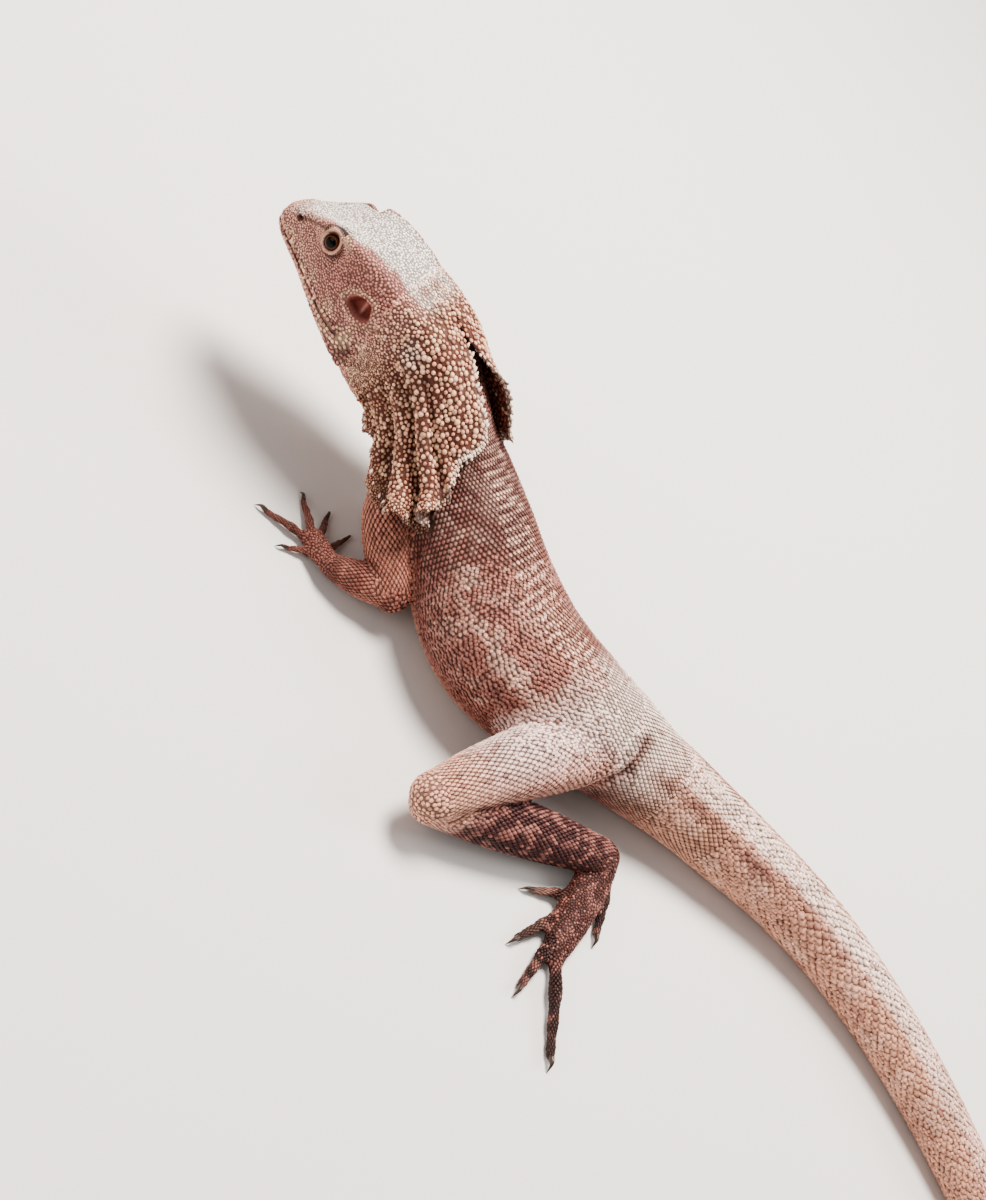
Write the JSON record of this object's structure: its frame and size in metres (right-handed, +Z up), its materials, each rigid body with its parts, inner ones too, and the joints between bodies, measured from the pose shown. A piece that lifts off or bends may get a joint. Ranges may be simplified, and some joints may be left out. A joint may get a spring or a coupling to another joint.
{
  "type": "frilled lizard model",
  "caption": "Life-size still model of a frilled lizard with its head raised, its frill folded over the shoulders and a long tapering tail.",
  "frame": {"origin": "on the floor, at the flat under the belly", "axes": "+Z up, -Y the way the head points, +X the animal's left side"},
  "size_m": [0.157, 0.6781, 0.0806],
  "materials": {
    "head_skin": "dry scaled skin, mauve brown with a whitish crown",
    "body_skin": "dry scaled skin, dark mauve brown with pale flecks",
    "tail_skin": "keeled scales, pale pinkish tan",
    "limb_skin": "keeled scales, pale with dark fleck rows",
    "foot_skin": "fine scales, dark purplish brown",
    "frill": "thin pleated skin with raised cream scales",
    "eye": "wet, dark brown iris and black pupil"
  },
  "bodies": {
    "root": {"head": "head_skin", "lower_jaw": "head_skin", "eye_left": "eye", "eye_right": "eye", "neck": "body_skin", "frill_left": "frill", "frill_right": "frill", "torso": "body_skin", "tail_base": "tail_skin", "tail_mid": "tail_skin", "tail_rear": "tail_skin", "tail_end": "tail_skin", "upper_arm_left": "limb_skin", "upper_arm_right": "limb_skin", "forearm_left": "limb_skin", "forearm_right": "limb_skin", "hand_left": "foot_skin", "hand_right": "foot_skin", "thigh_left": "limb_skin", "thigh_right": "limb_skin", "shin_left": "foot_skin", "shin_right": "foot_skin", "foot_left": "foot_skin", "foot_right": "foot_skin"}
  },
  "joints": []
}
